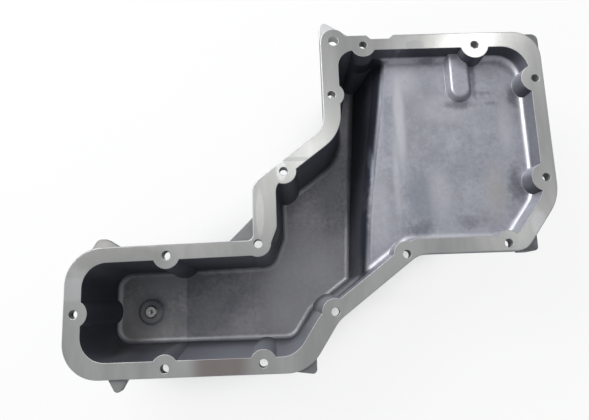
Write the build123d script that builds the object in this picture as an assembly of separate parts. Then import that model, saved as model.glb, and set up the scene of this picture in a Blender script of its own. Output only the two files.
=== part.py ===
"""Die-cast engine oil pan: a flanged casting with a deep sump arm, a middle section and a shallow tray."""
from build123d import *
from math import cos, hypot, radians, tan
from typing import NamedTuple
import os

os.makedirs("parts", exist_ok=True)

# All sizes are millimetres and degrees.
# The origin is the centre of the large corner hole, on the gasket face.
# +X runs along the pan from the arm to the tray, +Y towards that corner, +Z out of the gasket face.

# Levels below the gasket face, and thicknesses
flange_thickness = 10.0
sump_depth = 80.0
tray_depth = 17.0
wall = 4.0
foot_rib_height = 9.0
overlap = 1.0
least_angle = 8.0

# Draft of the cast walls and columns, and of the arm's bottom wall, which leans in more
draft = 3.0
leaning_draft = 6.0

# Outline of the flange
overall_length = 414.4
tray_left = -11.9
tray_top = 4.9
tray_width = 197.1
tray_length = 197.3
bevel_run = 32.4
bevel_rise = 43.2
diagonal_setback = 122.3
neck_x = -6.4
neck_drop = 51.6
neck_foot_x = -32.6
arm_drop = 91.3
arm_end_width = 104.9
arm_root_width = 107.3
throat_reach = 63.2
throat_height = 47.7
shoulder_rise = 47.8

tray_right = tray_left + tray_width
tray_bottom = tray_top - tray_length
arm_bottom = tray_bottom - arm_drop
arm_left = tray_right - overall_length
throat_left = tray_left - throat_reach
throat_bottom = arm_bottom + arm_root_width
throat_top = throat_bottom + throat_height
least_corner = 2.0
lug_corner = 4.0
buried_corner = 0.5

# Bolts through the flange
bolt_hole = 7.0
corner_hole = 9.0
corner_boss_radius = 11.5
lobe_radius = 11.0
tray_lobe_radius = 12.5
column_wall = 3.5

# Step between the sump and the tray: distance up from the tray's bottom side,
# then how far the foot and the top of the step wall lie from the tray's left side
step_stations = [(-48.0, 21.5, 30.5), (56.0, 28.0, 36.5), (118.0, 32.0, 47.0), (212.0, 40.0, 57.0)]

# Rounds and bevels of the casting
floor_round = 5.5
step_top_round = 8.0
outer_bevel = 3.5
edge_break = 0.5

# Floor of the sump: level round the drain, then rising towards the tray
crease_x = -145.0
floor_rise = 1.2

# Drain, placed from the arm's end and its bottom side
drain_setback = 50.7
drain_rise = 50.7
drain_x = arm_left + drain_setback
drain_y = arm_bottom + drain_rise
shank_radius = 6.0
thread_clearance = 0.1
drain_boss_radius = 11.3
drain_boss_height = 3.0
drain_boss_bevel = 1.2
spot_face_depth = 1.5
spot_face_margin = 4.0
guard_ring_gap = 3.0
washer_radius = 11.0
washer_thickness = 2.0
plug_flange_thickness = 2.0
hexagon_width = 17.0
hexagon_height = 5.5
shank_proud = 1.5
shank_point = 1.2
centre_mark_radius = 2.0
centre_mark_depth = 1.0

# Ribs under the sump and under the tray
rib_thickness = 4.0
foot_rib_inset = 6.0
foot_rib_spacing = 42.0
foot_rib_rows = 4
foot_rib_columns = 5
tray_rib_height = 8.0
tray_rib_spacing = 46.0
brace_height = 34.0
brace_run = 46.0

# Recess in the tray's top edge
recess_left = 33.5
recess_width = 16.5
recess_depth = 3.5
recess_slope_run = 7.5
recess_round = 2.0

# Lugs beside the flange: levels below the gasket face, reach past the flange, and rounds
lug_top = 2.5
lug_bite = 12.0
ear_height = 17.0
ear_run = 27.9
ear_drop = 9.9
ear_round = 4.5
corner_lug_inset = 1.7
corner_lug_round = 6.0
square_lug_inset = 21.0
square_lug_top = 4.0
square_lug_bottom = 22.0
square_lug_round = 3.5
square_lug_depth = 18.0
foot_lug_offset = 6.6
foot_lug_width = 18.0
foot_lug_reach = 1.7
foot_lug_bottom = 12.0
pointed_lug_inset = 44.7
pointed_lug_reach = 13.6
pointed_lug_slope = 0.56
pointed_lug_round = 3.5
bump_inset = 25.7
bump_width = 7.5
bump_reach = 7.3
bump_round = 5.0
bump_foot_left = 7.2
bump_foot_right = 19.2
web_top = 4.0
web_bottom = 9.0
web_leg = 20.0

# Raised tongue in the tray's floor
tongue_setback = 126.4
tongue_x = tray_left + tongue_setback
tongue_end_y = -55.0
tongue_width = 25.0
tongue_height = 6.0
tongue_draft = 35.0
tongue_round = 3.0


class Side(NamedTuple):
    """One side of the flange, named clockwise, with the corner that it starts from."""
    name: str
    x: float
    y: float
    corner: float
    mouth_corner: float
    rim: float


sides = [
    Side("tray top", tray_left, tray_top, 6.0, 15.0, 14.3),
    Side("tray right", tray_right, tray_top, 24.0, 24.0, 12.1),
    Side("bevel", tray_right, tray_bottom + bevel_rise, 40.0, 30.0, 13.0),
    Side("tray bottom", tray_right - bevel_run, tray_bottom, 15.0, 12.0, 12.8),
    Side("diagonal", tray_right - diagonal_setback, tray_bottom, 25.0, 12.0, 13.1),
    Side("neck", neck_x, tray_bottom - neck_drop, 25.0, 20.0, 15.6),
    Side("arm bottom", neck_foot_x, arm_bottom, 32.0, 22.0, 13.2),
    Side("arm end", arm_left, arm_bottom, 30.0, 21.0, 14.2),
    Side("arm top", arm_left, arm_bottom + arm_end_width, 30.0, 20.0, 12.8),
    Side("throat", throat_left, throat_bottom, 5.0, 8.0, 20.1),
    Side("shoulder", throat_left, throat_top, 14.0, 12.0, 13.2),
    Side("tray left", tray_left, throat_top + shoulder_rise, 22.0, 36.0, 15.2),
]
side_index = {side.name: i for i, side in enumerate(sides)}

# Bolt holes: the side that each one lies beside, the distance along it from its first corner,
# the distance in from it, and the radius of the lobe around the hole
bolts = [
    ("tray top", 38.3, 9.5, lobe_radius),
    ("tray top", 138.4, 11.8, tray_lobe_radius),
    ("tray right", 45.1, 7.7, tray_lobe_radius),
    ("tray right", 135.2, 8.7, tray_lobe_radius),
    ("tray bottom", 14.7, 6.6, lobe_radius),
    ("diagonal", 8.4, 6.6, lobe_radius),
    ("diagonal", 84.5, 7.3, lobe_radius),
    ("arm bottom", 36.1, 8.5, lobe_radius),
    ("arm bottom", 114.6, 7.1, lobe_radius),
    ("arm end", 51.8, 8.3, lobe_radius),
    ("arm top", 82.3, 9.2, lobe_radius),
    ("arm top", 158.0, 3.0, lobe_radius),
    ("shoulder", 27.8, 8.0, lobe_radius),
    ("tray left", 30.1, 8.0, lobe_radius),
]

# The opening cuts the corner between the arm's top and the throat
corner_cut_along_arm = 9.1
corner_cut_up_throat = 22.7
throat_mouth_round = 12.0


def direction(a, b):
    """Unit vector from one corner to the next."""
    length = hypot(b[0] - a[0], b[1] - a[1])
    return (b[0] - a[0]) / length, (b[1] - a[1]) / length


def beside(name, along, inset):
    """Point beside a side of the flange, measured along it and in from it."""
    i = side_index[name]
    start = sides[i]
    end = sides[(i + 1) % len(sides)]
    ux, uy = direction((start.x, start.y), (end.x, end.y))
    return start.x + along * ux + inset * uy, start.y + along * uy - inset * ux


def move_sides_in(corners, distances):
    """Clockwise corners after each side has moved in by its own distance; negative moves it out.

    A round on an outward corner shrinks by the mean of the two distances, and on an inward corner it grows.
    """
    count = len(corners)
    moved = []
    for i in range(count):
        x, y, radius = corners[i]
        ax, ay = direction(corners[i - 1], corners[i])
        bx, by = direction(corners[i], corners[(i + 1) % count])
        before, after = distances[i - 1], distances[i]
        cross = ax * by - ay * bx
        reach = (after - before * (ax * bx + ay * by)) / cross
        px = x + before * ay + reach * ax
        py = y - before * ax + reach * ay
        growth = (before + after) / 2
        if cross < 0:
            growth = -growth
        moved.append((px, py, max(radius + growth, least_corner)))
    return moved


def outline(corners, level):
    """Face with rounded corners at one level below the gasket face."""
    points = [(x, y, -level) for x, y, radius in corners]
    return make_face(FilletPolyline(*points, radius=[radius for x, y, radius in corners], close=True))


def flange_corners():
    """Corners of the flange's outer edge."""
    return [(side.x, side.y, side.corner) for side in sides]


def mouth_corners():
    """Corners of the opening in the gasket face, which cuts the corner between the arm's top and the throat."""
    moved = move_sides_in(flange_corners(), [side.rim for side in sides])
    corners = [(x, y, side.mouth_corner) for (x, y, radius), side in zip(moved, sides)]
    i = side_index["throat"]
    x, y, radius = corners[i]
    before = direction(corners[i - 1], corners[i])
    after = direction(corners[i], corners[i + 1])
    first = (x - corner_cut_along_arm * before[0], y - corner_cut_along_arm * before[1], radius)
    second = (x + corner_cut_up_throat * after[0], y + corner_cut_up_throat * after[1], throat_mouth_round)
    corners[i:i + 1] = [first, second]
    return corners


def step_edge(level, skin):
    """Line of the step wall at one level: the foot and the top each follow their own stations."""
    share = (sump_depth - level) / (sump_depth - tray_depth)
    points = []
    for up, foot, top in step_stations:
        x = tray_left + foot + share * (top - foot) + skin
        points.append((x, tray_bottom + up, -level))
    return Spline(*points)


def step_block(skin, bottom):
    """Everything right of the step wall and below the tray's floor, with its top edge rounded."""
    faces = []
    for level in (tray_depth + skin, bottom):
        edge = step_edge(level, skin)
        low, high = edge @ 0, edge @ 1
        far_x = tray_right + 2 * wall
        rest = Polyline((high.X, high.Y, high.Z), (far_x, high.Y, high.Z), (far_x, low.Y, low.Z), (low.X, low.Y, low.Z))
        faces.append(make_face(edge + rest))
    block = loft(faces, ruled=True)
    top_edge = block.edges().filter_by(GeomType.BSPLINE).sort_by(Axis.Z)[-1]
    return fillet(top_edge, step_top_round - max(skin, 0))


def floor_wedge(skin):
    """What lifts the sump's floor from the crease towards the tray."""
    bottom = sump_depth + skin
    rise = (tray_right - crease_x) * tan(radians(floor_rise))
    with_margin = bottom + 2 * wall
    profile = Plane.XZ * make_face(Polyline(
        (crease_x, -bottom),
        (tray_right, -bottom + rise),
        (tray_right, -with_margin),
        (crease_x, -with_margin),
        close=True,
    ))
    return extrude(Pos(0, tray_top, 0) * profile, amount=tray_top - arm_bottom)


def rough_basin(skin, bottom):
    """The basin's mouth moved out by a skin and carried down with the draft, with sharp lower edges."""
    corners = mouth_corners()
    mouth = outline(move_sides_in(corners, [-skin] * len(corners)), 0)
    return extrude(mouth, amount=bottom, taper=draft)


def leaning_basin():
    """The space inside the walls with sharp lower edges; the arm's bottom wall leans in more than the others."""
    corners = mouth_corners()
    drafts = [draft] * len(corners)
    drafts[side_index["arm bottom"]] = leaning_draft
    foot = move_sides_in(corners, [sump_depth * tan(radians(angle)) for angle in drafts])
    return loft([outline(corners, 0), outline(foot, sump_depth)], ruled=True)


def bolt_places():
    """Centre and lobe radius of each flange bolt."""
    return [(*beside(name, along, inset), lobe) for name, along, inset, lobe in bolts]


def pin(x, y, radius, top, bottom):
    """Round pin along Z between two levels."""
    return Pos(x, y, -(top + bottom) / 2) * Cylinder(radius, bottom - top)


def drafted_pin(x, y, radius, top, bottom):
    """Round pin along Z whose radius grows with depth by the draft."""
    height = bottom - top
    foot_radius = radius + height * tan(radians(draft))
    return Pos(x, y, -(top + bottom) / 2) * Cone(foot_radius, radius, height)


def plate(points, radii, top, bottom):
    """Flat plate with rounded corners between two levels."""
    corners = [(x, y, radius) for (x, y), radius in zip(points, radii)]
    return extrude(outline(corners, top), amount=bottom - top, dir=(0, 0, -1))


def sharp_edges(shape, below):
    """Edges lower than a level at which two faces meet at an angle."""
    owners = {}
    for face in shape.faces():
        for edge in face.edges():
            owners.setdefault(hash(edge), []).append((face, edge))
    sharp = []
    for edge in shape.edges():
        middle = edge @ 0.5
        faces = [face for face, other in owners[hash(edge)] if other.is_same(edge)]
        if middle.Z > -below or len(faces) != 2:
            continue
        if faces[0].normal_at(middle).get_angle(faces[1].normal_at(middle)) > least_angle:
            sharp.append(edge)
    return sharp


def tongue():
    """Raised tongue that runs out from the tray's top wall and ends in a half circle."""
    foot = tray_depth + overlap
    half = tongue_width / 2
    path = Polyline(
        (tongue_x + half, tongue_end_y + half, -foot),
        (tongue_x + half, 0, -foot),
        (tongue_x - half, 0, -foot),
        (tongue_x - half, tongue_end_y + half, -foot),
    )
    end = ThreePointArc(
        (tongue_x - half, tongue_end_y + half, -foot),
        (tongue_x, tongue_end_y, -foot),
        (tongue_x + half, tongue_end_y + half, -foot),
    )
    rise = tongue_height + overlap
    raised = extrude(make_face(path + end), amount=rise, dir=(0, 0, 1), taper=tongue_draft)
    return fillet(raised.faces().sort_by(Axis.Z)[-1].edges(), tongue_round)


def inside_space():
    """Everything hollow in the pan: basin, bolt columns left standing, step, tongue and drain boss."""
    space = leaning_basin() - floor_wedge(0) - step_block(0, sump_depth + wall)
    space = fillet(sharp_edges(space, tray_depth / 2), floor_round) - tongue()
    for x, y, lobe in bolt_places():
        space -= drafted_pin(x, y, lobe, -overlap, sump_depth + wall)
    boss_top = sump_depth - drain_boss_height
    space -= drafted_pin(drain_x, drain_y, drain_boss_radius, boss_top, sump_depth + wall)
    boss_edges = [
        edge for edge in space.edges().filter_by(GeomType.CIRCLE)
        if hypot(edge.arc_center.X - drain_x, edge.arc_center.Y - drain_y) < overlap
    ]
    return chamfer(boss_edges, drain_boss_bevel)


def outside_body():
    """Outer skin of the basin with its lower edges bevelled."""
    body = rough_basin(wall, sump_depth + wall) - floor_wedge(wall) - step_block(wall, sump_depth + 3 * wall)
    return chamfer(sharp_edges(body, overlap), outer_bevel)


def flange():
    """Flange with the boss at the large corner hole and the recess in the tray's top edge."""
    flat = extrude(outline(flange_corners(), 0), amount=flange_thickness, dir=(0, 0, -1))
    flat += pin(0, 0, corner_boss_radius, 0, flange_thickness)
    floor_y = tray_top - recess_depth
    open_y = tray_top + recess_depth
    right = recess_left + recess_width
    recess = [
        (recess_left - recess_slope_run, open_y),
        (recess_left, floor_y),
        (right, floor_y),
        (right + recess_slope_run, open_y),
    ]
    return flat - plate(recess, [recess_round] * 4, -overlap, flange_thickness + overlap)


def lugs():
    """Ear, corner pads, square lug, foot lug, pointed lug, bump and web, each a step below the gasket face."""
    pieces = []
    ear = [
        (tray_left, tray_top + ear_height),
        (tray_left + ear_run, tray_top - overlap),
        (tray_left + ear_run, tray_top - lug_bite),
        (tray_left, tray_top - ear_drop),
    ]
    pieces.append(plate(ear, [ear_round, lug_corner, lug_corner, buried_corner], lug_top, flange_thickness))
    pad_y = tray_top - corner_lug_inset
    pad = [
        (tray_right - 2 * lug_bite, pad_y),
        (tray_right, pad_y),
        (tray_right, pad_y - 2 * lug_bite),
    ]
    pieces.append(plate(pad, [buried_corner, corner_lug_round, buried_corner], lug_top, flange_thickness))
    square_x = tray_right - square_lug_inset
    square = [
        (square_x - lug_bite, tray_bottom),
        (square_x, tray_bottom),
        (square_x, tray_bottom + square_lug_depth),
        (square_x - lug_bite, tray_bottom + lug_bite),
    ]
    square_rounds = [buried_corner, square_lug_round, buried_corner, buried_corner]
    pieces.append(plate(square, square_rounds, square_lug_top, square_lug_bottom))
    foot_x = neck_foot_x + foot_lug_offset
    foot = [
        (foot_x, arm_bottom - foot_lug_reach),
        (foot_x, arm_bottom + lug_bite),
        (foot_x - foot_lug_width, arm_bottom + lug_bite),
        (foot_x - foot_lug_width, arm_bottom + foot_lug_reach / 2),
    ]
    pieces.append(plate(foot, [square_lug_round, buried_corner, buried_corner, buried_corner], lug_top, foot_lug_bottom))
    tip_x = arm_left + pointed_lug_inset
    tip_y = arm_bottom - pointed_lug_reach
    run = pointed_lug_reach + lug_bite / 2
    half = pointed_lug_slope * run
    point = [(tip_x, tip_y), (tip_x - half, tip_y + run), (tip_x + half, tip_y + run)]
    pieces.append(plate(point, [pointed_lug_round, buried_corner, buried_corner], lug_top, flange_thickness))
    bump_x = arm_left + bump_inset
    bump_y = arm_bottom + arm_end_width + bump_reach
    bump = [
        (bump_x, bump_y),
        (bump_x + bump_width, bump_y),
        (bump_x + bump_width + bump_foot_right, bump_y - lug_bite),
        (bump_x - bump_foot_left, bump_y - lug_bite),
    ]
    pieces.append(plate(bump, [bump_round, bump_round, buried_corner, buried_corner], lug_top, flange_thickness))
    web = [
        (throat_left - web_leg - lug_corner, throat_bottom - lug_corner),
        (throat_left + lug_corner, throat_bottom + web_leg + lug_corner),
        (throat_left + lug_corner, throat_bottom - lug_corner),
    ]
    pieces.append(plate(web, [buried_corner] * 3, web_top, web_bottom))
    return pieces


def steps_between(low, high, spacing):
    """Evenly spaced positions centred between two limits."""
    count = int((high - low) / spacing)
    first = (low + high - (count - 1) * spacing) / 2
    return [first + i * spacing for i in range(count)]


def foot_ribs():
    """Grid of ribs under the sump and the ring around the drain plug's head: the pan's feet."""
    top = sump_depth - drain_boss_height
    foot = sump_depth + wall + foot_rib_height
    middle_z = -(top + foot) / 2
    grid = []
    for i in range(foot_rib_rows):
        middle = Pos((arm_left + tray_right) / 2, drain_y + i * foot_rib_spacing, middle_z)
        grid.append(middle * Box(tray_right - arm_left, rib_thickness, foot - top))
    for i in range(foot_rib_columns):
        middle = Pos(drain_x + i * foot_rib_spacing, (arm_bottom + throat_top) / 2, middle_z)
        grid.append(middle * Box(rib_thickness, throat_top - arm_bottom, foot - top))
    zone = rough_basin(-foot_rib_inset, foot) - step_block(-foot_rib_inset, foot + wall)
    ribs = zone & (grid[0] + grid[1:])
    clear_radius = washer_radius + spot_face_margin + guard_ring_gap
    ribs += pin(drain_x, drain_y, clear_radius + rib_thickness, top, foot)
    return ribs - pin(drain_x, drain_y, clear_radius, top - overlap, foot + overlap)


def tray_ribs():
    """Ribs under the tray; the long ones deepen into braces against the step wall."""
    top = tray_depth + overlap
    bottom = tray_depth + wall + tray_rib_height
    root_x = tray_left + step_stations[1][2]
    ribs = []
    side = [
        (root_x, -top),
        (tray_right, -top),
        (tray_right, -bottom),
        (root_x + brace_run, -bottom),
        (root_x, -bottom - brace_height),
    ]
    for y in steps_between(tray_bottom, tray_top, tray_rib_spacing):
        profile = Plane.XZ * make_face(Polyline(*side, close=True))
        ribs.append(extrude(Pos(0, y + rib_thickness / 2, 0) * profile, amount=rib_thickness))
    for x in steps_between(root_x + brace_run, tray_right, tray_rib_spacing):
        middle = Pos(x, (tray_top + tray_bottom) / 2, -(top + bottom) / 2)
        ribs.append(middle * Box(rib_thickness, tray_length, bottom - top))
    return rough_basin(wall - overlap, bottom + brace_height) & (ribs[0] + ribs[1:])


def pan_casting():
    """The pan: flange, basin, lugs and ribs, hollowed out, then drilled."""
    pan = flange() + [outside_body(), *lugs(), foot_ribs(), tray_ribs()] - inside_space()
    foot = sump_depth + wall + foot_rib_height + overlap
    cuts = [pin(0, 0, corner_hole / 2, -overlap, foot)]
    for x, y, lobe in bolt_places():
        cuts.append(pin(x, y, bolt_hole / 2, -overlap, flange_thickness + overlap))
        cuts.append(pin(x, y, lobe - column_wall, flange_thickness, foot))
    seat = sump_depth + wall - spot_face_depth
    cuts.append(pin(drain_x, drain_y, shank_radius + thread_clearance, 0, foot))
    cuts.append(pin(drain_x, drain_y, washer_radius + spot_face_margin, seat, seat + spot_face_depth + overlap))
    pan -= cuts
    gasket_face = pan.faces().filter_by(Plane.XY).group_by(Axis.Z)[-1].sort_by(SortBy.AREA)[-1]
    return chamfer(gasket_face.outer_wire().edges(), edge_break)


def drain_plug():
    """Hexagon plug with a flange under its head and a plain shank through the floor."""
    seat = sump_depth + wall - spot_face_depth + washer_thickness
    shank_end = sump_depth - drain_boss_height - shank_proud
    flange_bottom = seat + plug_flange_thickness
    shank = pin(drain_x, drain_y, shank_radius, shank_end, flange_bottom)
    shank = chamfer(shank.edges().sort_by(Axis.Z)[-1], shank_point)
    head = pin(drain_x, drain_y, washer_radius, seat, flange_bottom)
    hexagon = RegularPolygon(radius=hexagon_width / 2, side_count=6, major_radius=False)
    head += Pos(drain_x, drain_y, -flange_bottom) * extrude(hexagon, amount=-hexagon_height)
    hex_foot = flange_bottom + hexagon_height
    corner_radius = hexagon_width / 2 / cos(radians(30))
    taper = Pos(drain_x, drain_y, -(seat + hex_foot) / 2) * Cone(hexagon_width / 2, corner_radius + hexagon_height, hex_foot - seat)
    head = head & taper
    mark = pin(drain_x, drain_y, centre_mark_radius, shank_end - overlap, shank_end + centre_mark_depth)
    return shank + head - mark


def drain_plug_washer():
    """Flat sealing washer between the plug's flange and the seat in the casting."""
    seat = sump_depth + wall - spot_face_depth
    disc = pin(drain_x, drain_y, washer_radius, seat, seat + washer_thickness)
    return disc - pin(drain_x, drain_y, shank_radius + thread_clearance, seat - overlap, seat + washer_thickness + overlap)


if __name__ == "__main__":
    export_step(pan_casting(), "parts/pan_casting.step")
    export_step(drain_plug(), "parts/drain_plug.step")
    export_step(drain_plug_washer(), "parts/drain_plug_washer.step")
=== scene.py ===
"""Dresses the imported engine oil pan: cast and milled finish, drain plug, sealing washer and studio stage."""
from math import pi, radians, tan
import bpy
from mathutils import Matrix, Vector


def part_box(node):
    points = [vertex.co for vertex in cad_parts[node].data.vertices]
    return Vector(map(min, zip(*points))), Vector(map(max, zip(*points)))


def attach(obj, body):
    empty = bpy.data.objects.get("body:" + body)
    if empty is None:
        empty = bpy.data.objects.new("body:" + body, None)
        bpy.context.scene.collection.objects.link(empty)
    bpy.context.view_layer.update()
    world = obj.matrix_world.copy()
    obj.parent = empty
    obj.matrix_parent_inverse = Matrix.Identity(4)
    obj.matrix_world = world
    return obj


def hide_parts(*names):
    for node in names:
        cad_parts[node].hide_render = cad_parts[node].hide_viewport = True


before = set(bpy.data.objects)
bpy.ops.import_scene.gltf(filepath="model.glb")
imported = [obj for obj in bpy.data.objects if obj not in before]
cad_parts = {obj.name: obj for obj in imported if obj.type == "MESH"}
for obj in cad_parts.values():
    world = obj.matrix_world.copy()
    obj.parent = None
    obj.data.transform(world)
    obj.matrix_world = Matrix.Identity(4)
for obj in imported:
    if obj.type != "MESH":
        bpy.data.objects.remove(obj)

from types import SimpleNamespace

import bpy
import numpy as np
from bpy.props import FloatProperty, FloatVectorProperty, PointerProperty
from mathutils import Matrix, Vector

bl_info = {
    "name": "Engine oil pan",
    "version": (1, 0, 0),
    "blender": (4, 5, 0),
    "location": "3D View > Sidebar > Oil pan",
    "description": "Finish and small parts of a die-cast engine oil pan",
    "category": "Object",
}

MM = 0.001
BODY = "root"
pan_low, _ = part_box("pan_casting")
plug_low, plug_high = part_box("drain_plug")
washer_low, washer_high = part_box("drain_plug_washer")
drain = (plug_low + plug_high) / 2

# Places on the pan; the gasket face is at z = 0
SUMP_FLOOR = -80 * MM
TRAY_FLOOR = -17 * MM
CREASE_X = -145 * MM
STEP_LEAN = -0.14

# Tones of the marks, in linear values
# Dark tone of real stains, also used for painted shade in some marks
STAIN_AND_SHADE = (0.085, 0.09, 0.11)
BLUISH = (0.26, 0.29, 0.34)
PALE = (0.70, 0.70, 0.73)
WARM = (0.47, 0.45, 0.43)
BARE = (0.78, 0.78, 0.78)
OILY = (0.36, 0.355, 0.335)
REDDISH = (0.30, 0.235, 0.225)
# Dark painted reflection on the milled face
REFLECTED_DARK = (0.36, 0.36, 0.37)
OXIDISED = (0.34, 0.34, 0.32)
# Light painted reflections on the milled face, in four tints
REFLECTED_LIGHT = (0.72, 0.72, 0.72)
REFLECTED_LIGHT_WARM = (0.72, 0.71, 0.69)
REFLECTED_LIGHT_COOL = (0.72, 0.73, 0.73)
REFLECTED_LIGHT_BLUE = (0.72, 0.72, 0.73)

# Marks on the cast skin: the middle, how far each reaches along x and y, its strength and its tone
CAST_MARKS = (
    # Painted shadow of the arm's top wall on the sump floor in this mark and the next; the third is painted
    # light further right
    ((-0.165, -0.200), (0.080, 0.034), 0.42, STAIN_AND_SHADE),
    ((-0.122, -0.235), (0.045, 0.040), 0.22, STAIN_AND_SHADE),
    ((-0.030, -0.215), (0.050, 0.060), 0.24, PALE),
    ((0.000, -0.110), (0.030, 0.060), 0.40, STAIN_AND_SHADE),
    ((0.0580, -0.066), (0.0060, 0.062), 0.55, PALE),
    ((0.0640, -0.030), (0.0180, 0.022), 0.30, PALE),
    ((0.0470, -0.070), (0.0065, 0.055), 0.30, BLUISH),
    ((0.0350, -0.156), (0.0120, 0.040), 0.25, PALE),
    ((0.0700, -0.146), (0.0200, 0.034), 0.55, BLUISH),
    ((0.1157, -0.110), (0.0260, 0.032), 0.40, BLUISH),
    ((0.0900, -0.140), (0.0130, 0.030), 0.30, PALE),
    ((0.1380, -0.138), (0.0140, 0.034), 0.55, WARM),
    ((0.1540, -0.082), (0.0090, 0.030), 0.30, PALE),
    ((0.1575, -0.128), (0.0090, 0.022), 0.55, STAIN_AND_SHADE),
    ((0.1630, -0.050), (0.0050, 0.011), 0.40, STAIN_AND_SHADE),
    ((0.1130, -0.165), (0.0180, 0.008), 0.35, STAIN_AND_SHADE),
    ((0.0700, -0.170), (0.0160, 0.010), 0.40, STAIN_AND_SHADE),
    # Painted shade along the foot of the tray's top wall
    ((0.0860, -0.013), (0.0130, 0.004), 0.60, STAIN_AND_SHADE),
    ((0.1380, -0.046), (0.0090, 0.003), 0.35, STAIN_AND_SHADE),
    ((0.1430, -0.056), (0.0070, 0.003), 0.35, STAIN_AND_SHADE),
    # Painted shade on the tongue's right side
    ((0.1285, -0.030), (0.0040, 0.026), 0.55, STAIN_AND_SHADE),
    ((0.0520, -0.120), (0.0040, 0.050), 0.30, PALE),
    ((0.1020, -0.060), (0.0300, 0.016), 0.25, PALE),
    ((0.1300, -0.090), (0.0200, 0.012), 0.25, BLUISH),
    # Painted shade on the tongue's end
    ((0.1145, -0.056), (0.0150, 0.006), 0.60, STAIN_AND_SHADE),
    ((-0.0030, 0.012), (0.0220, 0.018), 0.85, BARE),
    ((0.1600, -0.192), (0.0120, 0.006), 0.40, STAIN_AND_SHADE),
    ((-0.1990, -0.177), (0.0200, 0.012), 0.60, WARM),
    ((-0.1865, -0.291), (0.0150, 0.010), 0.25, WARM),
    ((0.0305, -0.112), (0.0030, 0.026), 0.40, BLUISH),
    ((-0.1720, -0.227), (0.0110, 0.010), 0.55, STAIN_AND_SHADE),
    ((-0.1540, -0.243), (0.0160, 0.030), 0.30, STAIN_AND_SHADE),
    ((-0.0980, -0.226), (0.0300, 0.022), 0.30, STAIN_AND_SHADE),
    ((-0.1910, -0.256), (0.0220, 0.016), 0.16, WARM),
)

# Marks on the milled face, given in the same way; most of them are painted reflections, light and dark
FACE_MARKS = (
    ((-0.0371, -0.108), (0.0160, 0.0022), 0.60, REFLECTED_DARK),
    ((-0.0500, -0.118), (0.0050, 0.010), 0.70, REFLECTED_LIGHT),
    ((-0.0690, -0.154), (0.0040, 0.022), 0.50, REFLECTED_LIGHT_WARM),
    ((-0.2216, -0.212), (0.0200, 0.011), 0.50, REFLECTED_LIGHT_COOL),
    ((0.0730, -0.006), (0.0100, 0.006), 0.40, REFLECTED_DARK),
    ((-0.1850, -0.189), (0.0450, 0.014), 0.50, OXIDISED),
    ((0.1660, -0.171), (0.0080, 0.014), 0.50, REFLECTED_LIGHT_BLUE),
)
# Middle and stretch of a painted red reflection on the milled face
RED_REFLECTION_MIDDLE = (-0.103, -0.276)
RED_REFLECTION_STRETCH = (1.0, 1.6)
CUTTER_OFFSET = (0.31, 0.22, 0.0)

# How much darker and lighter than its own colour each finish gets in its clouds; on the milled face they are
# bands of painted sheen
CAST_SHADES = (0.80, 1.16)
FLOOR_SHADES = (0.80, 1.20)
OUTER_SHADES = (0.82, 1.15)
MILLED_SHADES = (0.91, 1.16)
TURNED_SHADES = (0.86, 1.08)

# Strengths of the tones laid over the casting
FLECKS = 0.30
OIL_ON_LEVEL = 0.40
SHADE_BEYOND_CREASE = 0.42
OIL_ROUND_PLUG = 0.35
SHADE_ON_LUGS = 0.32
CUTTER_ARCS = 0.05
RED_REFLECTION = 0.7
DULL_EDGES = 0.50
DARK_RIM = 0.85

# What clouds, cutter arcs, broken edges and turned grooves add to the roughness
CLOUD_ROUGHNESS = 0.35
ARC_ROUGHNESS = 0.03
EDGE_ROUGHNESS = 0.42
GROOVE_ROUGHNESS = 0.12

# Height of the cutter's arcs, as a share of the cast grain's, and depth of the turned grooves
ARC_HEIGHT = 0.004
GROOVE_DEPTH = 0.03 * MM

# Painted shade on the walls and painted highlights on the rounds: away from the near or the lit side, and on
# it
SUMP_SHADE_NEAR = (0.985, 0.80)
SUMP_SHADE_LIT = (1.0, 0.93)
TRAY_SHADE_NEAR = (0.60, 0.95)
TRAY_SHADE_LIT = (1.0, 0.15)
TRAY_ROUND_HIGHLIGHT = (0.0, 0.85)
SUMP_ROUND_HIGHLIGHT = (0.38, 0.75)

# Bare metal on the open skin, and less of it on the steep walls and the drain boss
BARE_METAL = (0.75, 0.25)

# Stage: the camera's place, the middle that the lamps face, the floor's shadow, and the lamps
EYE = (-0.0485, -0.2262, 0.417)
MIDDLE = (-0.02, -0.15, -0.03)
FLOOR_GAP = 0.2 * MM
FLOOR_WHITE = 0.86
SHADOW_REACH = 0.10
OPEN_SKY = (0.28, 0.72)
KEY_PLACE = (-0.75, 0.55, 0.85)
KEY_SIZE = (0.7, 0.7)
FAR_PLACE = (-0.40, 0.90, 0.42)
FAR_SIZE = (1.1, 0.40)

# Panel lamps that the milled face mirrors into the camera: the spot that shows each one, its width, height
# and brightness; each is this many times as high as the camera, on the mirrored line of sight
PANEL_HEIGHT = 1.9
PANELS = (
    ("panel_top", (0.122, -0.006), 0.10, 0.16, 5.5),
    ("panel_strip", (0.100, -0.002), 0.015, 0.16, 4.0),
    ("panel_diagonal", (-0.033, -0.104), 0.10, 0.13, 3.2),
    ("panel_shoulder", (-0.068, -0.150), 0.06, 0.10, 1.6),
    ("panel_corner", (0.150, -0.172), 0.10, 0.12, 1.2),
)


# Sizes and colours

def length(name, description, default):
    """A length in metres that the sidebar shows in the scene's own unit."""
    return FloatProperty(name=name, description=description, default=default, min=0.0,
                         unit="LENGTH", subtype="DISTANCE")


def share(name, description, default):
    """A number from 0 to 1."""
    return FloatProperty(name=name, description=description, default=default, min=0.0, max=1.0,
                         subtype="FACTOR")


def colour(name, description, default):
    """A colour in linear values."""
    return FloatVectorProperty(name=name, description=description, default=default, min=0.0, max=1.0,
                               subtype="COLOR")


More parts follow.
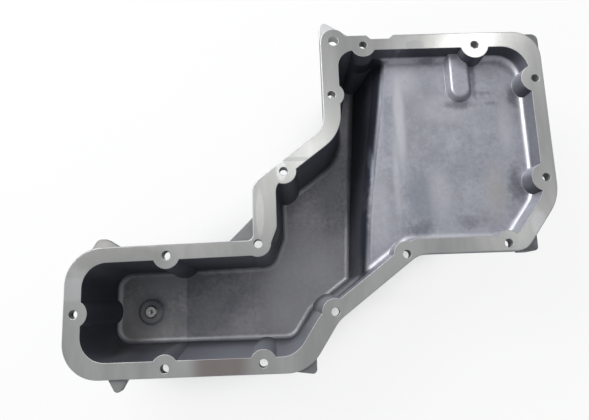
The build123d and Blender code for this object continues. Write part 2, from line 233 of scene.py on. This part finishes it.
class CastingFinish(bpy.types.PropertyGroup):
    """Colours and texture of the cast and milled aluminium."""
    cast_colour: colour("Cast colour", "Bare cast aluminium in the tray", (0.425, 0.43, 0.475))
    outer_colour: colour("Outer colour", "Cast aluminium on the outside of the pan", (0.34, 0.343, 0.345))
    # The sump floor's darker colour is oil stain and painted shade of the deep recess together
    deep_colour: colour("Deep colour", "Oil-stained aluminium on the sump's floor", (0.33, 0.325, 0.345))
    # Painted shade: the dark colour laid on the steep walls inside, the lugs' tops, the step's top, the arm's
    # outer rim and beyond the sump floor's crease; it also colours the oil ring round the plug
    shade_and_oil_colour: colour("Wall colour", "Dark film on the steep walls inside", (0.032, 0.036, 0.050))
    # Painted light: the walls' colour high on their lit side
    lit_wall_colour: colour("Bare wall colour", "Walls that the film has worn off", (0.215, 0.225, 0.26))
    machined_colour: colour("Machined colour", "Milled gasket face", (0.55, 0.55, 0.53))
    cast_roughness: share("Cast roughness", "Roughness of the cast skin", 0.50)
    machined_roughness: share("Machined roughness", "Roughness of the milled gasket face", 0.24)
    grain_size: length("Grain size", "Size of the cast skin's grain", 0.0011)
    grain_depth: length("Grain depth", "Height of the cast skin's grain", 0.00012)
    edge_radius: length("Edge radius", "Radius of the broken edges", 0.0009)


class PlugFinish(bpy.types.PropertyGroup):
    """Detail and finish of the drain plug and its washer."""
    shank_radius: length("Shank radius", "Radius over the crests of the thread", 0.006)
    washer_bore: length("Washer bore", "Radius of the washer's hole", 0.0061)
    thread_pitch: length("Thread pitch", "Distance from one turn of the thread to the next", 0.00125)
    thread_depth: length("Thread depth", "Height of the thread from root to crest", 0.0007)
    hexagon_width: length("Hexagon width", "Width across the hexagon's flats", 0.017)
    flange_height: length("Flange height", "Thickness of the flange under the head", 0.002)
    flange_round: length("Flange round", "Round on the flange's edges", 0.0004)
    point: length("Point", "Bevel on the shank's end", 0.0012)
    edge_round: length("Edge round", "Round on the washer's edges", 0.0003)
    plug_colour: colour("Plug colour", "Zinc-plated steel", (0.58, 0.57, 0.55))
    washer_colour: colour("Washer colour", "Soft aluminium", (0.66, 0.66, 0.64))
    plug_roughness: share("Plug roughness", "Roughness of the plated steel", 0.32)
    washer_roughness: share("Washer roughness", "Roughness of the soft aluminium", 0.38)


class StageSettings(bpy.types.PropertyGroup):
    """Floor, lamps and camera of the studio stage."""
    floor_colour: colour("Floor colour", "Pale floor under the pan", (0.86, 0.86, 0.86))
    floor_size: length("Floor size", "Width of the floor", 8.0)
    room: share("Room light", "Strength of the even light from all round", 0.50)
    key: FloatProperty(name="Key light", description="Power of the soft light from the upper left",
                       default=12.8, min=0.0, unit="POWER")
    far: share("Far light", "Brightness of the low light beyond the tray", 1.0)
    focal: FloatProperty(name="Focal length", description="Focal length on a 36 mm wide frame",
                         default=30.87, min=1.0, unit="CAMERA")


# Meshes

def grid_faces(rows, columns, joined):
    """Four-sided faces of a grid that closes round the axis; a joined one also closes along the profile."""
    i, j = np.meshgrid(np.arange(rows if joined else rows - 1), np.arange(columns), indexing="ij")
    here = i * columns
    below = (i + 1) % rows * columns
    along = (j + 1) % columns
    return np.stack([here + j, below + j, below + along, here + along], -1).reshape(-1, 4).tolist()


def new_mesh(name, vertices, faces):
    """Mesh from an array of points and a list of faces."""
    mesh = bpy.data.meshes.new(name)
    mesh.from_pydata(vertices.reshape(-1, 3).tolist(), [], faces)
    mesh.update()
    return mesh


def closed_grid_mesh(name, points):
    """Mesh from a grid of points, rows along the profile and columns round the axis, closed at both ends."""
    rows, columns, _ = points.shape
    ends = np.vstack([points[0].mean(0), points[-1].mean(0)])
    j = np.arange(columns)
    k = (j + 1) % columns
    last = (rows - 1) * columns
    first_fan = np.stack([np.full(columns, rows * columns), j, k], -1)
    last_fan = np.stack([np.full(columns, rows * columns + 1), last + k, last + j], -1)
    faces = grid_faces(rows, columns, False) + first_fan.tolist() + last_fan.tolist()
    return new_mesh(name, np.vstack([points.reshape(-1, 3), ends]), faces)


def ring_mesh(name, points):
    """Mesh from a grid of points that closes on itself both along the profile and round the axis."""
    rows, columns, _ = points.shape
    return new_mesh(name, points, grid_faces(rows, columns, True))


def finish_piece(name, mesh, node, material, smooth_below):
    """Puts a finished mesh in the scene in place of a CAD node, riding on the pan's body."""
    piece = bpy.data.objects.new(name, mesh)
    bpy.context.scene.collection.objects.link(piece)
    mesh.materials.append(material)
    mesh.shade_smooth()
    mesh.set_sharp_from_angle(angle=smooth_below)
    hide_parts(node)
    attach(piece, BODY)


def around(centre, radius, height, angle):
    """Points round an upright axis: centre plus radius times (cos, sin) of the angle, at the height."""
    radius, height, angle = np.broadcast_arrays(radius, height, angle)
    return np.stack([centre.x + radius * np.cos(angle), centre.y + radius * np.sin(angle), height], -1)


def plug_points(size):
    """Grid of the drain plug's surface, from the shank's end down to the head's foot.

    Round the shank the radius at an angle and a height is the smaller of the thread and the bevel on the
    point. The thread is the radius over its crests minus its depth times a triangle wave of the height over
    the pitch minus the angle over a full turn. The flange has quarter-circle edges. Round the head the radius
    is the smaller of the hexagon, which is half its width over the cosine of the angle from the middle of the
    nearest flat, and a cone of 30 degrees that cuts the hexagon's corners.
    """
    top, foot = plug_high.z, plug_low.z
    seat = washer_low.z
    flange_foot = seat - size.flange_height
    shank = size.shank_radius
    flange = (plug_high.x - plug_low.x) / 2
    half_width = size.hexagon_width / 2
    angle = np.linspace(0, 2 * pi, 120, endpoint=False)[None, :]
    # End of the shank: a centre drilling, then out to the bevel
    drilling_radius = 2.0 * MM
    drilling_depth = 0.9 * MM
    out = np.array([0.2, 0.5, 1.0, 1.6, 2.0, 2.2, 2.6, 3.4, 4.2])[:, None] * MM
    sunk = np.clip(1 - out / drilling_radius, 0, 1) * drilling_depth
    end = around(drain, out, top - sunk, angle)
    # Threaded shank
    height = np.linspace(top, seat, 84)[:, None]
    wave = np.abs(((height / size.thread_pitch - angle / (2 * pi)) % 1.0) * 2 - 1)
    thread = shank - size.thread_depth * wave
    point = shank - size.point + (top - height)
    side = around(drain, np.minimum(thread, point), height, angle)
    # Flange under the head, with rounded edges
    turn = np.linspace(0, pi / 2, 6)[:, None]
    soft = size.flange_round
    rising = soft * np.sin(turn)
    falling = soft * np.cos(turn)
    upper = around(drain, flange - soft + rising, seat - soft + falling, angle)
    lower = around(drain, flange - soft + falling, flange_foot + soft - rising, angle)
    # Hexagon, its corners cut by a cone at the foot
    flat = (angle + pi / 6) % (pi / 3) - pi / 6
    hexagon = half_width / np.cos(flat)
    drop = np.linspace(0, 1, 16)[:, None] ** 0.5
    level = flange_foot + (foot - flange_foot) * drop
    bevel_foot = half_width * 0.97
    cone = bevel_foot + (level - foot) / tan(radians(30))
    head = around(drain, np.minimum(hexagon, cone), level, angle)
    # Foot of the head, with a shallow dish
    inward = np.array([0.93, 0.86, 0.80, 0.72, 0.45, 0.20])[:, None]
    dish = np.array([0.0, 0.0, 0.0, 0.5, 0.6, 0.6])[:, None] * MM
    under = around(drain, half_width * inward, foot + dish, angle)
    return np.concatenate([end, side, upper, lower, head, under])


def washer_points(size):
    """Grid of the washer's surface: a rectangle with rounded corners, carried once round the plug's axis."""
    inner = size.washer_bore
    outer = (washer_high.x - washer_low.x) / 2
    r = size.edge_round
    corners = [
        (outer - r, washer_high.z - r, 0.0),
        (outer - r, washer_low.z + r, -pi / 2),
        (inner + r, washer_low.z + r, -pi),
        (inner + r, washer_high.z - r, -3 * pi / 2),
    ]
    turn = np.linspace(pi / 2, 0, 5)
    profile = np.concatenate([
        np.stack([x + r * np.cos(turn + start), z + r * np.sin(turn + start)], -1) for x, z, start in corners
    ])
    angle = np.linspace(0, 2 * pi, 96, endpoint=False)[None, :]
    return around(drain, profile[:, 0:1], profile[:, 1:2], angle)


def floor_mesh(width, level):
    """Flat floor: x and y each run from minus to plus half the width, at one level."""
    half = np.array([-width / 2, width / 2])
    x, y = np.meshgrid(half, half)
    return new_mesh("floor", np.stack([x, y, np.full_like(x, level)], -1), [(0, 1, 3, 2)])


# Nodes

def add(tree, kind, settings=None, **inputs):
    """New node; settings are its own properties, and inputs are values or links to its sockets.

    An input is named by its socket, with an underscore for a space, or i and the socket's place.
    """
    made = tree.nodes.new(kind)
    for name, value in (settings or {}).items():
        setattr(made, name, value)
    for name, value in inputs.items():
        socket = made.inputs[int(name[1:])] if name[1:].isdigit() else made.inputs[name.replace("_", " ")]
        if isinstance(value, bpy.types.NodeSocket):
            tree.links.new(value, socket)
        else:
            socket.default_value = value
    return made


def calc(tree, operation, a, b):
    """One sum on two values."""
    return add(tree, "ShaderNodeMath", {"operation": operation}, i0=a, i1=b).outputs[0]


def times(tree, first, *others):
    """Product of values."""
    for other in others:
        first = calc(tree, "MULTIPLY", first, other)
    return first


def total(tree, *parts, plus=0.0):
    """Sum of values, each times its own weight, plus a number."""
    for value, weight in parts:
        made = add(tree, "ShaderNodeMath", {"operation": "MULTIPLY_ADD"}, i0=value, i1=weight, i2=plus)
        plus = made.outputs[0]
    return plus


def distance(tree, point, middle, stretch=(1.0, 1.0)):
    """Distance from an upright line at a place, with x and y each divided by their own stretch."""
    shrink = (1 / stretch[0], 1 / stretch[1], 0.0)
    flat = add(tree, "ShaderNodeVectorMath", {"operation": "MULTIPLY"}, i0=point, i1=shrink).outputs[0]
    centre = (middle[0] / stretch[0], middle[1] / stretch[1], 0.0)
    made = add(tree, "ShaderNodeVectorMath", {"operation": "DISTANCE"}, i0=flat, i1=centre)
    return made.outputs["Value"]


def ramp(tree, value, low, high):
    """0 below low and 1 above high, with a smooth rise between; low may be the larger, and then it falls."""
    start, end = (0.0, 1.0) if low < high else (1.0, 0.0)
    made = add(tree, "ShaderNodeMapRange", {"interpolation_type": "SMOOTHSTEP"}, Value=value,
               From_Min=min(low, high), From_Max=max(low, high), To_Min=start, To_Max=end)
    return made.outputs["Result"]


def band(tree, value, low, high, soft):
    """1 between two limits and 0 outside them, with soft ends."""
    return times(tree, ramp(tree, value, low - soft, low), ramp(tree, value, high + soft, high))


def between(tree, factor, a, b):
    """Value a turning into value b as the factor rises."""
    return add(tree, "ShaderNodeMix", {"data_type": "FLOAT"}, i0=factor, i2=a, i3=b).outputs[0]


def blend(tree, factor, a, b):
    """Colour a turning into colour b as the factor rises."""
    a, b = (side if isinstance(side, bpy.types.NodeSocket) else (*side[:3], 1.0) for side in (a, b))
    return add(tree, "ShaderNodeMix", {"data_type": "RGBA"}, i0=factor, i6=a, i7=b).outputs[2]


def laid(tree, base, tone, where, strength):
    """Base colour with a tone laid over it where a mask says, at a strength."""
    return blend(tree, times(tree, where, strength), base, tone)


def shade(tone, part):
    """A colour at a part of its brightness."""
    return [value * part for value in tone]


def two_tone(tree, factor, tone, shades):
    """A colour going from its darker to its lighter shade as the factor rises."""
    return blend(tree, factor, shade(tone, shades[0]), shade(tone, shades[1]))


def noise(tree, point, **settings):
    """Cloudy noise at a point."""
    return add(tree, "ShaderNodeTexNoise", Vector=point, **settings).outputs["Fac"]


def rings(tree, point, **settings):
    """Waves in rings about the upright axis."""
    kind = {"wave_type": "RINGS", "rings_direction": "Z"}
    return add(tree, "ShaderNodeTexWave", kind, Vector=point, **settings).outputs["Fac"]


def mapped(tree, point, **settings):
    """A point moved, turned and scaled."""
    return add(tree, "ShaderNodeMapping", Vector=point, **settings).outputs[0]


def new_material(name):
    """Empty node material with a Principled shader; returns its output node too."""
    material = bpy.data.materials.new(name)
    material.use_nodes = True
    tree = material.node_tree
    tree.nodes.clear()
    shader = tree.nodes.new("ShaderNodeBsdfPrincipled")
    output = tree.nodes.new("ShaderNodeOutputMaterial")
    tree.links.new(shader.outputs[0], output.inputs[0])
    return material, tree, shader, output


def cast_skin_group():
    """Grain and clouds of a cast surface, from Object coordinates: a height, a mottle and a fleck mask."""
    group = bpy.data.node_groups.new("cast_skin", "ShaderNodeTree")
    group.interface.new_socket(name="Vector", in_out="INPUT", socket_type="NodeSocketVector")
    group.interface.new_socket(name="Grain", in_out="INPUT", socket_type="NodeSocketFloat")
    for name in ("Height", "Mottle", "Flecks"):
        group.interface.new_socket(name=name, in_out="OUTPUT", socket_type="NodeSocketFloat")
    given = group.nodes.new("NodeGroupInput")
    result = group.nodes.new("NodeGroupOutput")
    point = given.outputs["Vector"]
    fine_scale = calc(group, "DIVIDE", 1.0, given.outputs["Grain"])
    fine = noise(group, point, Scale=fine_scale, Detail=3.0, Roughness=0.6)
    coarse = noise(group, point, Scale=times(group, fine_scale, 0.22), Detail=2.0)
    clouds = noise(group, point, Scale=38.0, Detail=5.0, Roughness=0.62)
    patches = noise(group, point, Scale=13.0, Detail=3.0, Distortion=0.6)
    group.links.new(total(group, (fine, 0.55), (coarse, 0.8)), result.inputs["Height"])
    group.links.new(total(group, (clouds, 0.5), (patches, 0.5)), result.inputs["Mottle"])
    group.links.new(ramp(group, fine, 0.66, 0.74), result.inputs["Flecks"])
    return group


def cast_skin(tree, point, grain):
    """The shared cast-skin group placed in a material, at a grain size."""
    group = bpy.data.node_groups.get("cast_skin") or cast_skin_group()
    return add(tree, "ShaderNodeGroup", {"node_tree": group}, Vector=point, Grain=grain).outputs


# Aluminium of the casting

def pan_places(tree, finish):
    """Masks and values that say where on the casting a point lies, from Object coordinates and the normal."""
    at = SimpleNamespace()
    at.point = add(tree, "ShaderNodeTexCoord").outputs["Object"]
    at.x, at.y, at.z = add(tree, "ShaderNodeSeparateXYZ", Vector=at.point).outputs
    at.normal = add(tree, "ShaderNodeNewGeometry").outputs["Normal"]
    aside, away, at.facing = add(tree, "ShaderNodeSeparateXYZ", Vector=at.normal).outputs
    at.from_drain = distance(tree, at.point, drain)
    at.across = total(tree, (at.x, 1.0), (at.y, STEP_LEAN))
    # The milled face, the deep part, and the sump's side of the step
    at.milled = ramp(tree, at.z, -0.16 * MM, -0.04 * MM)
    at.deep = ramp(tree, at.z, -24 * MM, -66 * MM)
    at.sump = ramp(tree, at.across, 75 * MM, 45 * MM)
    # Steep walls, the rounds at their foot, and the sides that they face
    at.steep = ramp(tree, at.facing, 0.72, 0.30)
    at.rounded = band(tree, at.facing, 0.66, 0.93, 0.06)
    at.lit_side = ramp(tree, away, -0.1, 0.80)
    at.near_side = ramp(tree, away, -0.3, -0.9)
    at.tray_side = calc(tree, "MAXIMUM", at.lit_side, ramp(tree, aside, -0.1, -0.7))
    # Tops of the lugs, and everything on the outside
    at.lug = times(tree, ramp(tree, at.z, -7 * MM, -6 * MM), ramp(tree, at.facing, 0.90, 0.97))
    at.outside = calc(tree, "MAXIMUM", at.lug, ramp(tree, at.facing, 0.02, -0.02))
    # Cast skin, and its clouds: streaks where the metal flowed across the tray, and small blotches
    skin = cast_skin(tree, at.point, finish.grain_size)
    at.height, at.mottle, at.flecks = skin["Height"], skin["Mottle"], skin["Flecks"]
    flow = mapped(tree, at.point, Rotation=(0.0, 0.0, radians(-4)), Scale=(1.0, 0.16, 1.0))
    streaks = noise(tree, flow, Scale=82.0, Detail=4.0, Roughness=0.6)
    wide = noise(tree, flow, Scale=23.0, Detail=2.0)
    blotches = noise(tree, at.point, Scale=260.0, Detail=3.0, Roughness=0.7)
    clouds = total(tree, (at.mottle, 0.52), (streaks, 0.10), (wide, 0.10), (blotches, 0.28))
    at.cloud = ramp(tree, clouds, 0.38, 0.62)
    return at


def marked(tree, point, base, marks, ragged, full):
    """Base colour with oval marks, each full inside a share of its reach and faded out just past its end."""
    for middle, reach, strength, tone in marks:
        from_middle = calc(tree, "ADD", distance(tree, point, middle, reach), ragged)
        base = laid(tree, base, tone, ramp(tree, from_middle, 1.05, full), strength)
    return base


def sump_floor_colour(tree, at, finish):
    """Sump floor: oil stain and painted shade of the deep recess, oily on the level part, painted shade beyond
    its crease, and an old ring of oil round the plug.
    """
    base = two_tone(tree, at.cloud, finish.deep_colour, FLOOR_SHADES)
    level = ramp(tree, at.x, CREASE_X + 1.2 * MM, CREASE_X - 1.2 * MM)
    base = laid(tree, base, OILY, level, OIL_ON_LEVEL)
    # Painted shade beyond the crease, fading across the slope
    fading = ramp(tree, at.x, CREASE_X + 90 * MM, CREASE_X)
    beyond = times(tree, fading, ramp(tree, at.x, CREASE_X - MM, CREASE_X + MM))
    base = laid(tree, base, finish.shade_and_oil_colour, beyond, SHADE_BEYOND_CREASE)
    round_plug = ramp(tree, at.from_drain, 24 * MM, 8 * MM)
    return laid(tree, base, finish.shade_and_oil_colour, round_plug, OIL_ROUND_PLUG)


def wall_shade_share(tree, at, on_near, on_lit):
    """Share of the painted shade on a wall; each pair gives it away from the near or the lit side, and on it.
    """
    return times(tree, between(tree, at.near_side, *on_near), between(tree, at.lit_side, *on_lit))


def with_walls(tree, at, base, finish):
    """Base colour with the walls inside: painted shade on the walls, painted light high on their lit side,
    painted highlights on the rounds at their foot, and painted shade on the step's top.
    """
    # Painted shade on the walls: full in the sump, thin in the tray, and giving way to painted light high on
    # the lit side except at the arm's end
    in_sump = wall_shade_share(tree, at, SUMP_SHADE_NEAR, SUMP_SHADE_LIT)
    in_tray = wall_shade_share(tree, at, TRAY_SHADE_NEAR, TRAY_SHADE_LIT)
    off_boss = ramp(tree, at.from_drain, 16 * MM, 20 * MM)
    painted_wall_shade = times(tree, at.steep, between(tree, at.sump, in_tray, in_sump), off_boss)
    high_up = ramp(tree, at.z, SUMP_FLOOR, -38 * MM)
    lit_high_up = times(tree, at.lit_side, high_up, ramp(tree, at.x, -185 * MM, -95 * MM))
    base = blend(tree, painted_wall_shade, base, blend(tree, lit_high_up, finish.shade_and_oil_colour, finish.lit_wall_colour))
    # Rounds, with painted highlights in the sump and on two sides of the tray
    highlight_in_tray = between(tree, at.tray_side, *TRAY_ROUND_HIGHLIGHT)
    highlight_in_sump = between(tree, at.lit_side, *SUMP_ROUND_HIGHLIGHT)
    round_highlight = between(tree, at.deep, highlight_in_tray, highlight_in_sump)
    base = laid(tree, base, blend(tree, at.deep, PALE, finish.cast_colour), at.rounded, round_highlight)
    # Painted shade on the top of the step, as far as it leans
    upper_part = band(tree, at.z, -30 * MM, TRAY_FLOOR - 0.02 * MM, 2 * MM)
    shaded_step_top = times(tree, band(tree, at.across, 28 * MM, 46 * MM, 10 * MM), upper_part)
    leaning = ramp(tree, at.facing, 0.9998, 0.975)
    return laid(tree, base, finish.shade_and_oil_colour, shaded_step_top, leaning)


def cast_colour(tree, at, finish):
    """Colour of the cast skin, inside and outside, with its marks, some of which are painted shadow and
    painted light.
    """
    base = two_tone(tree, at.cloud, finish.cast_colour, CAST_SHADES)
    base = laid(tree, base, shade(finish.cast_colour, CAST_SHADES[0]), at.flecks, FLECKS)
    base = blend(tree, at.deep, base, sump_floor_colour(tree, at, finish))
    base = with_walls(tree, at, base, finish)
    outer = two_tone(tree, at.cloud, finish.outer_colour, OUTER_SHADES)
    # Painted shade on the tops of the lugs
    outer = laid(tree, outer, finish.shade_and_oil_colour, at.lug, SHADE_ON_LUGS)
    base = blend(tree, at.outside, base, outer)
    ragged = total(tree, (at.cloud, 0.35), (at.mottle, 0.9), plus=-0.60)
    return marked(tree, at.point, base, CAST_MARKS, ragged, 0.25)


def milled_colour(tree, at, finish, arcs):
    """Colour of the milled face: slow bands of painted sheen, fine arcs from the cutter, marks that are mostly
    painted reflections, and a painted red reflection.
    """
    # Slow bands of painted sheen across the milled face
    sheen_sweep = mapped(tree, at.point, Rotation=(0.0, 0.0, radians(40)), Scale=(1.0, 0.30, 1.0))
    sheen = ramp(tree, noise(tree, sheen_sweep, Scale=22.0, Detail=4.0, Roughness=0.6), 0.36, 0.66)
    base = two_tone(tree, sheen, finish.machined_colour, MILLED_SHADES)
    base = laid(tree, base, shade(finish.machined_colour, MILLED_SHADES[0]), arcs, CUTTER_ARCS)
    base = marked(tree, at.point, base, FACE_MARKS, 0.0, 0.65)
    # Painted red reflection on the lower flange
    red_reflection = ramp(tree, distance(tree, at.point, RED_REFLECTION_MIDDLE, RED_REFLECTION_STRETCH), 30 * MM, 12 * MM)
    return laid(tree, base, REDDISH, red_reflection, RED_REFLECTION)


def aluminium_material(finish):
    """Cast aluminium, darker on the deep floor with oil stain and painted shade and on the steep walls with
    painted shade, with the gasket face milled bright.
    """
    material, tree, shader, _ = new_material("cast_aluminium_finish")
    at = pan_places(tree, finish)
    swept = mapped(tree, at.point, Location=CUTTER_OFFSET)
    arcs = rings(tree, swept, Scale=260.0, Distortion=2.0, Detail=3.0)
    base = blend(tree, at.milled, cast_colour(tree, at, finish), milled_colour(tree, at, finish, arcs))

    # Broken edges: where the rounded normal leaves the true one; duller, with painted shade along the arm's
    # outer rim that hides its highlight
    edges = add(tree, "ShaderNodeBevel", {"samples": 12}, Radius=finish.edge_radius).outputs[0]
    compare = add(tree, "ShaderNodeVectorMath", {"operation": "DOT_PRODUCT"}, i0=edges, i1=at.normal)
    turned = compare.outputs["Value"]
    broken = ramp(tree, turned, 0.998, 0.93)
    base = laid(tree, base, finish.cast_colour, times(tree, broken, at.milled), DULL_EDGES)
    along_arm = ramp(tree, at.x, -85 * MM, -95 * MM)
    arm_side = times(tree, band(tree, at.y, -186 * MM, -160 * MM, 4 * MM), along_arm)
    shaded_arm_rim = times(tree, arm_side, ramp(tree, turned, 0.9995, 0.96))
    base = laid(tree, base, finish.shade_and_oil_colour, shaded_arm_rim, DARK_RIM)
    tree.links.new(base, shader.inputs["Base Color"])

    # Roughness, and bare metal, less of it on the steep walls and round the drain
    rough = total(tree, (at.mottle, CLOUD_ROUGHNESS), plus=finish.cast_roughness - CLOUD_ROUGHNESS / 2)
    smooth = total(tree, (arcs, ARC_ROUGHNESS), (broken, EDGE_ROUGHNESS), plus=finish.machined_roughness)
    tree.links.new(between(tree, at.milled, rough, smooth), shader.inputs["Roughness"])
    on_boss = ramp(tree, at.from_drain, 16.5 * MM, 13.5 * MM)
    steep_or_boss = calc(tree, "MAXIMUM", at.steep, on_boss)
    bare = calc(tree, "MAXIMUM", at.milled, between(tree, steep_or_boss, *BARE_METAL))
    tree.links.new(bare, shader.inputs["Metallic"])

    # Grain of the skin, and the cutter's marks
    height = between(tree, at.milled, at.height, times(tree, arcs, ARC_HEIGHT))
    bump = add(tree, "ShaderNodeBump", Strength=1.0, Distance=finish.grain_depth, Height=height, Normal=edges)
    tree.links.new(bump.outputs[0], shader.inputs["Normal"])
    return material


def turned_material(name, tint, roughness):
    """Turned metal: fine rings about the drain's axis over a faint mottle."""
    material, tree, shader, _ = new_material(name)
    point = add(tree, "ShaderNodeTexCoord").outputs["Object"]
    centred = mapped(tree, point, Location=(-drain.x, -drain.y, 0.0))
    grooves = rings(tree, centred, Scale=900.0, Distortion=0.6, Detail=1.0)
    mottle = cast_skin(tree, point, 0.8 * MM)["Mottle"]
    base = two_tone(tree, ramp(tree, mottle, 0.4, 0.6), tint, TURNED_SHADES)
    tree.links.new(base, shader.inputs["Base Color"])
    shader.inputs["Metallic"].default_value = 1.0
    tree.links.new(total(tree, (grooves, GROOVE_ROUGHNESS), plus=roughness), shader.inputs["Roughness"])
    bump = add(tree, "ShaderNodeBump", Strength=0.6, Distance=GROOVE_DEPTH, Height=grooves)
    tree.links.new(bump.outputs[0], shader.inputs["Normal"])
    return material


# Stage

def area_lamp(name, place, target, width, height, power):
    """Soft rectangular lamp that faces a target."""
    data = bpy.data.lights.new(name, "AREA")
    data.shape = "RECTANGLE"
    data.size = width
    data.size_y = height
    data.energy = power
    lamp = bpy.data.objects.new(name, data)
    lamp.location = place
    lamp.rotation_euler = (Vector(target) - Vector(place)).to_track_quat("-Z", "Y").to_euler()
    bpy.context.scene.collection.objects.link(lamp)


def studio_lamps(stage):
    """Key lamp, then the low far lamp and the panels, whose power is brightness times pi times area."""
    area_lamp("key", KEY_PLACE, MIDDLE, *KEY_SIZE, stage.key)
    area_lamp("far", FAR_PLACE, MIDDLE, *FAR_SIZE, stage.far * pi * FAR_SIZE[0] * FAR_SIZE[1])
    eye = Vector(EYE)
    for name, spot, width, height, brightness in PANELS:
        seen = Vector((*spot, 0.0))
        place = seen + (seen - eye) * Vector((1.0, 1.0, -1.0)) * PANEL_HEIGHT
        area_lamp(name, place, seen, width, height, brightness * pi * width * height)


def studio_world(room):
    """Even grey light from all round; the camera sees plain white behind the object."""
    world = bpy.data.worlds.new("studio")
    world.use_nodes = True
    tree = world.node_tree
    tree.nodes.clear()
    camera_ray = add(tree, "ShaderNodeLightPath").outputs["Is Camera Ray"]
    lit = add(tree, "ShaderNodeBackground", Color=(0.95, 0.97, 1.0, 1.0), Strength=room)
    seen = add(tree, "ShaderNodeBackground", Color=(1.0, 1.0, 1.0, 1.0), Strength=1.0)
    mixed = add(tree, "ShaderNodeMixShader", i0=camera_ray, i1=lit.outputs[0], i2=seen.outputs[0])
    output = tree.nodes.new("ShaderNodeOutputWorld")
    tree.links.new(mixed.outputs[0], output.inputs[0])
    bpy.context.scene.world = world


def floor_material(tint):
    """Pale floor that the camera sees almost white, with the object's shadow kept."""
    material, tree, shader, output = new_material("pale_floor")
    shader.inputs["Base Color"].default_value = (*tint, 1.0)
    shader.inputs["Roughness"].default_value = 0.9
    camera_ray = add(tree, "ShaderNodeLightPath").outputs["Is Camera Ray"]
    glow = add(tree, "ShaderNodeEmission", Color=(1.0, 1.0, 1.0, 1.0), Strength=1.0)
    open_sky = add(tree, "ShaderNodeAmbientOcclusion", {"samples": 8}, Distance=SHADOW_REACH).outputs["AO"]
    white = times(tree, ramp(tree, open_sky, *OPEN_SKY), FLOOR_WHITE, camera_ray)
    mixed = add(tree, "ShaderNodeMixShader", i0=white, i1=shader.outputs[0], i2=glow.outputs[0])
    tree.links.new(mixed.outputs[0], output.inputs[0])
    return material


def photograph_camera(focal):
    """Camera that looks almost straight down on the gasket face."""
    data = bpy.data.cameras.new("camera")
    data.sensor_width = 36.0
    data.lens = focal
    data.clip_start = 0.01
    camera = bpy.data.objects.new("camera", data)
    right = Vector((0.99930, -0.03436, 0.01462))
    up = Vector((0.03127, 0.98399, 0.17543))
    back = Vector((-0.02041, -0.17486, 0.98438))
    turn = Matrix((right, up, back)).transposed().to_4x4()
    camera.matrix_world = Matrix.Translation(EYE) @ turn
    bpy.context.scene.collection.objects.link(camera)
    bpy.context.scene.camera = camera


# Operators

class OILPAN_OT_casting(bpy.types.Operator):
    """Give the pan casting its cast and milled finish"""
    bl_idname = "oilpan.casting"
    bl_label = "Finish pan casting"

    def execute(self, context):
        material = aluminium_material(context.scene.casting_finish)
        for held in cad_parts["pan_casting"].material_slots:
            held.material = material
        return {"FINISHED"}


class OILPAN_OT_plug(bpy.types.Operator):
    """Make the threaded hexagon drain plug"""
    bl_idname = "oilpan.plug"
    bl_label = "Make drain plug"

    def execute(self, context):
        size = context.scene.plug_finish
        material = turned_material("plated_steel", size.plug_colour, size.plug_roughness)
        mesh = closed_grid_mesh("hexagon_drain_plug", plug_points(size))
        finish_piece("hexagon_drain_plug", mesh, "drain_plug", material, radians(32))
        return {"FINISHED"}


class OILPAN_OT_washer(bpy.types.Operator):
    """Make the sealing washer"""
    bl_idname = "oilpan.washer"
    bl_label = "Make sealing washer"

    def execute(self, context):
        size = context.scene.plug_finish
        material = turned_material("soft_aluminium", size.washer_colour, size.washer_roughness)
        mesh = ring_mesh("sealing_washer", washer_points(size))
        finish_piece("sealing_washer", mesh, "drain_plug_washer", material, radians(40))
        return {"FINISHED"}


class OILPAN_OT_stage(bpy.types.Operator):
    """Set the floor, the lamps and the camera"""
    bl_idname = "oilpan.stage"
    bl_label = "Set studio stage"

    def execute(self, context):
        stage = context.scene.oilpan_stage
        context.scene.view_settings.view_transform = "Standard"
        floor = bpy.data.objects.new("floor", floor_mesh(stage.floor_size, pan_low.z - FLOOR_GAP))
        floor.data.materials.append(floor_material(stage.floor_colour))
        context.scene.collection.objects.link(floor)
        studio_world(stage.room)
        studio_lamps(stage)
        photograph_camera(stage.focal)
        return {"FINISHED"}


class OILPAN_PT_panel(bpy.types.Panel):
    """Sizes, colours and steps of the oil pan"""
    bl_label = "Engine oil pan"
    bl_idname = "OILPAN_PT_panel"
    bl_space_type = "VIEW_3D"
    bl_region_type = "UI"
    bl_category = "Oil pan"

    def draw(self, context):
        for group in (context.scene.casting_finish, context.scene.plug_finish, context.scene.oilpan_stage):
            box = self.layout.box()
            for name in group.__annotations__:
                box.prop(group, name)
        for step in STEPS:
            self.layout.operator(step.bl_idname)


STEPS = (OILPAN_OT_casting, OILPAN_OT_plug, OILPAN_OT_washer, OILPAN_OT_stage)
CLASSES = (CastingFinish, PlugFinish, StageSettings, *STEPS, OILPAN_PT_panel)


def register():
    """Register the classes and hang the settings on the scene."""
    for item in CLASSES:
        bpy.utils.register_class(item)
    bpy.types.Scene.casting_finish = PointerProperty(type=CastingFinish)
    bpy.types.Scene.plug_finish = PointerProperty(type=PlugFinish)
    bpy.types.Scene.oilpan_stage = PointerProperty(type=StageSettings)


def unregister():
    """Take the settings off the scene and unregister the classes."""
    del bpy.types.Scene.oilpan_stage
    del bpy.types.Scene.plug_finish
    del bpy.types.Scene.casting_finish
    for item in reversed(CLASSES):
        bpy.utils.unregister_class(item)


def main():
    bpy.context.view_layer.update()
    register()
    bpy.ops.oilpan.casting()
    bpy.ops.oilpan.plug()
    bpy.ops.oilpan.washer()
    bpy.ops.oilpan.stage()


if __name__ == "__main__":
    main()
